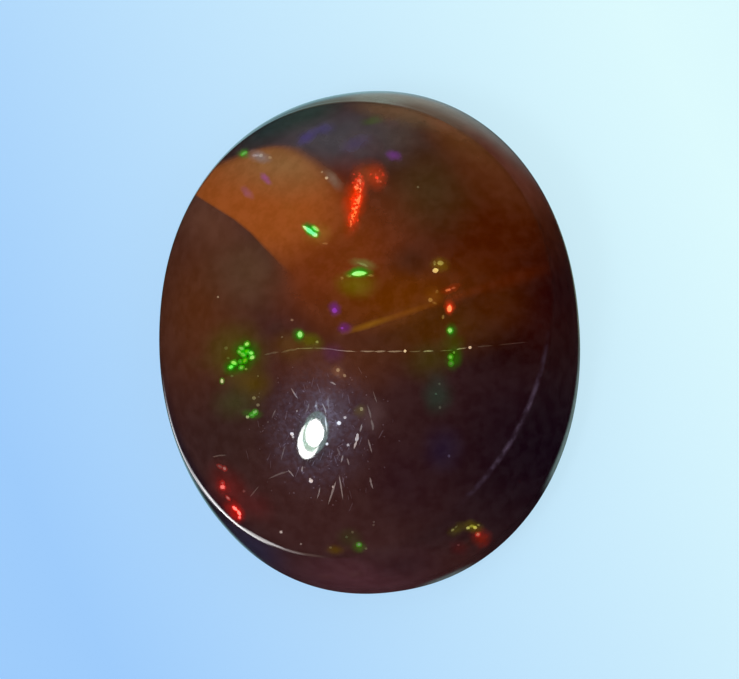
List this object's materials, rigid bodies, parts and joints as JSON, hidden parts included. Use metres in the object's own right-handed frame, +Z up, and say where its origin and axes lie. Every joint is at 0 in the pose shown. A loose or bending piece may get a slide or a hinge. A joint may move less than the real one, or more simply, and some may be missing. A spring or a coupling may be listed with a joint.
{
  "type": "black opal cabochon",
  "caption": "Loose oval cabochon of dark red-brown precious opal: domed top, crisp shoulder ridge, steep side band and a flat polished back.",
  "frame": {"origin": "centre of the flat back, on the surface that the stone rests on", "axes": "+Z up through the dome, +Y along the length of the oval, +X across its width"},
  "size_m": [0.01, 0.012, 0.0041],
  "materials": {
    "opal": "polished dark opal, see-through red-brown with play of colour"
  },
  "bodies": {
    "root": {"opal_stone": "opal"}
  },
  "joints": []
}
